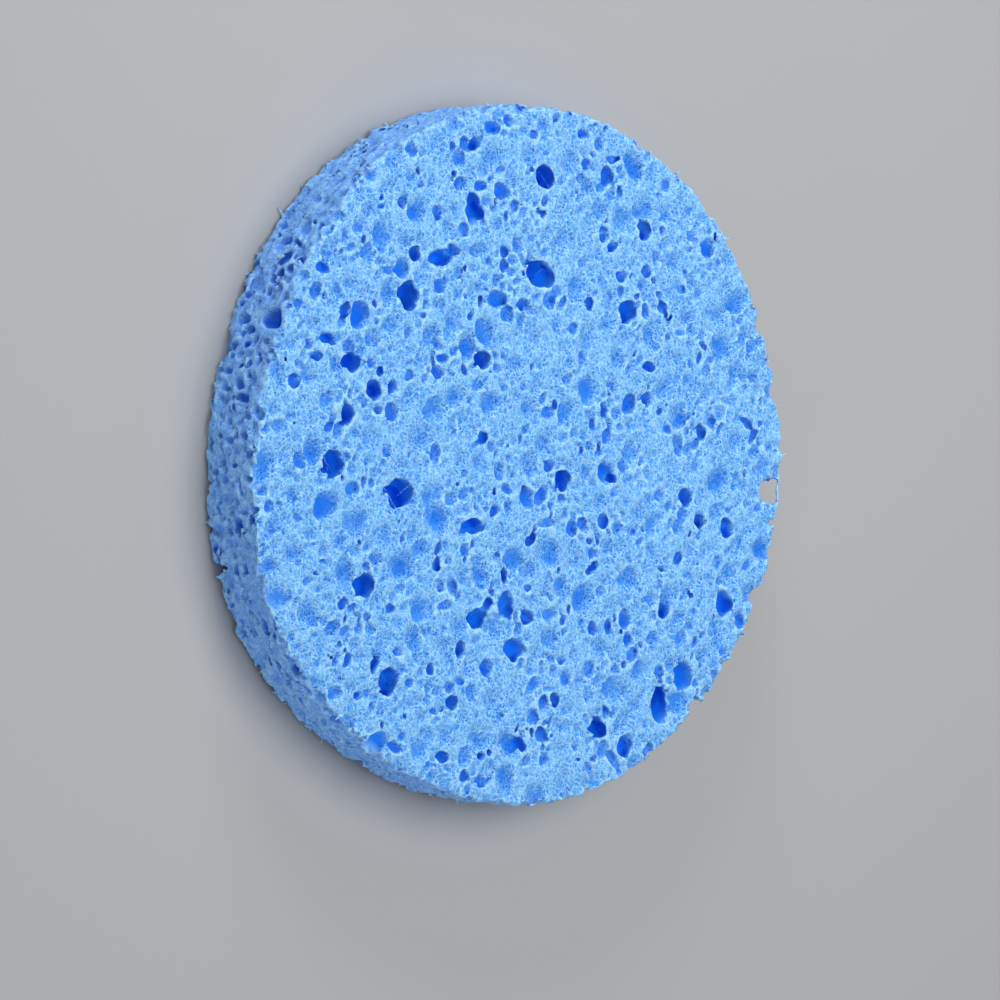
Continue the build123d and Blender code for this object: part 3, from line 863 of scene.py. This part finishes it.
def foam_finish():
    """Matt blue cellulose, with light and shade painted into it: a painted highlight on the lips
    and ridges where the skin stands proud, painted shade deep blue down in the pores and on
    steep walls, fine cells with painted shade in their floors and whitish threads between them,
    and pinpricks too small to model, painted dark as shade in them. The colour is mixed in
    layers, each over the ones before it by a share from 0 to 1."""
    finish = Finish("blue_cellulose")
    place = finish.node("ShaderNodeTexCoord", out=3)
    depth = finish.attribute("depth")
    ridge = finish.attribute("ridge")
    steep = finish.ramp(finish.attribute("steepness"), 0.30, 0.95)
    speckle_and_shade = finish.attribute("speckle_and_shade")
    side = finish.ramp(finish.attribute("side"), 0.3, 0.9)
    bent = finish.strayed(place, BEND_PER_MM, BEND)
    blotch = finish.noise(place, BLOTCHES_PER_MM, 1.0)
    grain = finish.noise(place, GRAINS_PER_MM, 1.0, 0.7)
    lacy = finish.ramp(depth, 1.2, 0.2) * (1 - steep * 0.9)
    along = finish.node("ShaderNodeVectorMath", {"operation": "MULTIPLY"}, {0: bent, 1: STREAK_SQUASH})
    streak = finish.noise(along, STREAKS_PER_MM, 1.0) * side

    # The skin, deeper in random blotches and streaked on the side, with painted shade in dents, on
    # pinpricked floors and on steep walls where it turns in, and a painted highlight on lips and ridges.
    colour = finish.mix(finish.ramp(blotch, 0.40, 0.70) * 0.2, SKY, MID)
    # Painted shade: bluer the deeper the skin lies in dents.
    colour = finish.mix(finish.ramp(depth, 0.03, 0.60), colour, MID)
    # Painted shade: pinpricked floors bluer, more towards one side.
    colour = finish.mix(speckle_and_shade * 0.3, colour, MID)
    colour = finish.mix(finish.ramp(streak, 0.48, 0.62) * 0.6, colour, MID)
    colour = finish.mix(finish.ramp(streak, 0.38, 0.30) * side * 0.5, colour, LACE_AND_HIGHLIGHT)
    # Painted shade: steep walls, where the skin turns in, bluer.
    colour = finish.mix(steep * 0.85, colour, MID)
    # Painted highlight: paler on lips and thin ridges that face out.
    colour = finish.mix(finish.ramp(ridge, 0.42, 0.33) * (1 - steep) * 0.7, colour, LACE_AND_HIGHLIGHT)

    # Small cells with threads between them, their floors painted bluer as shade in them, then the finest
    # ones, with painted shade in some of their middles, and the grain.
    for per_mm, blue, white, thread in SMALL_CELLS:
        edge = finish.cells(bent, per_mm, "DISTANCE_TO_EDGE")
        _, own = finish.cells(bent, per_mm)
        filled = finish.ramp(edge, 0.04, 0.22) * finish.ramp(own, 0.40, 0.75) * (1 - steep)
        colour = finish.mix(filled * blue, colour, MID)
        colour = finish.mix(finish.ramp(edge, thread, 0.0) * lacy * white, colour, LACE_AND_HIGHLIGHT)
    far, own = finish.cells(bent, PINPRICKS_PER_MM)
    colour = finish.mix(finish.ramp(far, 0.55, 0.85) * lacy * 0.25, colour, LACE_AND_HIGHLIGHT)
    # Painted shade: darker middles in some of the finest cells.
    colour = finish.mix(finish.ramp(own, 0.55, 0.75) * finish.ramp(far, 0.60, 0.40) * 0.4, colour, MID)
    colour = finish.mix(finish.ramp(grain, 0.50, 0.75) * lacy * 0.4, colour, LACE_AND_HIGHLIGHT)
    colour = finish.mix(side * 0.48, colour, LAVENDER)

    # Painted shade: deep blue down in the pores and where foam closes round. Painted light: pale again on
    # thin walls near the skin.
    colour = finish.mix(finish.ramp(finish.attribute("closeness"), 0.60, 0.85) * 0.7, colour, ROYAL)
    colour = finish.mix(finish.ramp(depth, 0.5, 1.7), colour, ROYAL)
    # Painted light: thin walls near the skin paler.
    thin_wall = finish.ramp(ridge, 0.24, 0.12) * finish.ramp(depth, 0.7, 0.1)
    colour = finish.mix(thin_wall * 0.8, colour, LACE_AND_HIGHLIGHT)

    # Pinpricks on the floors that are marked for them, and a few all over, painted dark as shade in
    # pinholes too fine to model.
    scattered = finish.ramp(blotch, 0.48, 0.60) * 0.4 + 0.06
    where = finish.maths("MAXIMUM", finish.ramp(speckle_and_shade, 0.2, 0.7), scattered)
    pricks = finish.ramp(far, 0.50, 0.32) * finish.ramp(own, 0.55, 0.30) * where
    colour = finish.mix(pricks * 0.7, colour, NAVY)

    height = far * 0.5 + grain * 0.8
    bump = finish.node("ShaderNodeBump", {}, {"Strength": 1.0, "Distance": BUMP_DEPTH, "Height": height})
    sockets = {"Base Color": colour, "Roughness": 0.95, "Specular IOR Level": 0.10, "Normal": bump}
    return finish.surface(sockets)


# ---- The sponge ----

def sponge_foam():
    """The foam's skin as one closed piece. Its finish reads, at each corner, how deep it lies in
    the uncut disc, how much foam there is near it, how far it turns from the disc's own skin,
    whether that skin is the side, and whether it is pinpricked. From these it paints shade deep
    in the pores, on steep walls and on pinpricked floors, and highlights on lips and ridges."""
    lattice = foam_lattice()
    points, quads = largest_shell(*surface_nets(lattice))
    piece = thinned("sponge_foam", points, quads, SKIN_TRIANGLES, points[:, 2] > SPARED_ABOVE)

    spots = corner_values(piece.data.vertices, "co") / MM
    facing = corner_values(piece.data.vertex_normals, "vector")
    outward = np.stack([-sampled(lattice, slope, spots) for slope in np.gradient(lattice.hull)], 1)
    outward /= np.linalg.norm(outward, axis=1, keepdims=True) + TINY
    solid = (lattice.foam > 0).astype(np.float32)
    give(piece, "depth", sampled(lattice, lattice.hull, spots))
    give(piece, "closeness", sampled(lattice, blurred(solid, CLOSENESS_CELLS), spots))
    give(piece, "ridge", sampled(lattice, blurred(solid, RIDGE_CELLS), spots))
    give(piece, "steepness", 1 - (facing * outward).sum(axis=1))
    give(piece, "side", 1 - np.abs(outward[:, 2]))
    give(piece, "speckle_and_shade", sampled(lattice, lattice.speckle_and_shade, spots))
    piece.data.materials.append(foam_finish())
    piece.data.shade_smooth()
    return piece


sponge = sponge_foam()
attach(sponge, "root")
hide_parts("sponge")


# ---- Floor, light and camera ----

FLOOR_GREY = (0.42, 0.425, 0.43, 1)
FLOOR_REACH = 1500        # from its middle to its edges
STUDIO_WHITE = (0.95, 0.97, 1, 1)
STUDIO_GLOW = 0.29        # strength of the light from all round
CAMERA_AIM = (5.1, -4.46, 8.5)
CAMERA_AWAY = 453.9       # from the aim
CAMERA_UP = 48.78         # degrees over the floor
CAMERA_ASIDE = -0.98      # degrees round from straight in front
CAMERA_ROLL = 92.45       # degrees that it is turned on its own axis
CAMERA_LENS = 144
CAMERA_NEAREST = 10       # nothing nearer than this shows


def floor():
    finish = Finish("pale_floor")
    corners = np.array([(-1, -1, 0), (1, -1, 0), (1, 1, 0), (-1, 1, 0)]) * FLOOR_REACH
    piece = mesh_from("floor", corners, np.array([[0, 1, 2, 3]]))
    sockets = {"Base Color": FLOOR_GREY, "Roughness": 0.8, "Specular IOR Level": 0.2}
    piece.data.materials.append(finish.surface(sockets))


def soft_light(name, size, power, place, aim):
    """A square panel of light, facing its aim. Its sizes and places are in metres."""
    lamp = bpy.data.lights.new(name, "AREA")
    lamp.size = size
    lamp.energy = power
    panel = bpy.data.objects.new(name, lamp)
    panel.location = place
    panel.rotation_euler = (Vector(aim) - Vector(place)).to_track_quat("-Z", "Y").to_euler()
    bpy.context.scene.collection.objects.link(panel)


def camera():
    """Looks down on the sponge, rolled so that the sponge seems to stand on its edge."""
    up, aside, roll = math.radians(CAMERA_UP), math.radians(CAMERA_ASIDE), math.radians(CAMERA_ROLL)
    flat = math.cos(up)
    back = Vector((flat * math.sin(aside), -flat * math.cos(aside), math.sin(up)))
    view = bpy.data.objects.new("camera", bpy.data.cameras.new("camera"))
    view.data.lens = CAMERA_LENS
    view.data.clip_start = CAMERA_NEAREST * MM
    view.location = Vector(CAMERA_AIM) * MM + back * CAMERA_AWAY * MM
    view.rotation_euler = (back.to_track_quat("Z", "Y") @ Quaternion((0, 0, 1), roll)).to_euler()
    bpy.context.scene.collection.objects.link(view)
    bpy.context.scene.camera = view


def studio():
    """A pale even light from all round."""
    world = bpy.data.worlds.new("studio")
    world.use_nodes = True
    sky = world.node_tree.nodes["Background"].inputs
    sky["Color"].default_value = STUDIO_WHITE
    sky["Strength"].default_value = STUDIO_GLOW
    bpy.context.scene.world = world
    bpy.context.scene.view_settings.view_transform = "Standard"


floor()
camera()
soft_light("key", 0.28, 1.06, (-0.06, 0.04, 0.36), (0, 0, 0))
soft_light("side", 0.14, 1.10, (-0.39, -0.10, 0.13), (0, 0, 0.36))
soft_light("low", 0.12, 0.40, (0.36, -0.26, 0.07), (0, 0, 0))
studio()

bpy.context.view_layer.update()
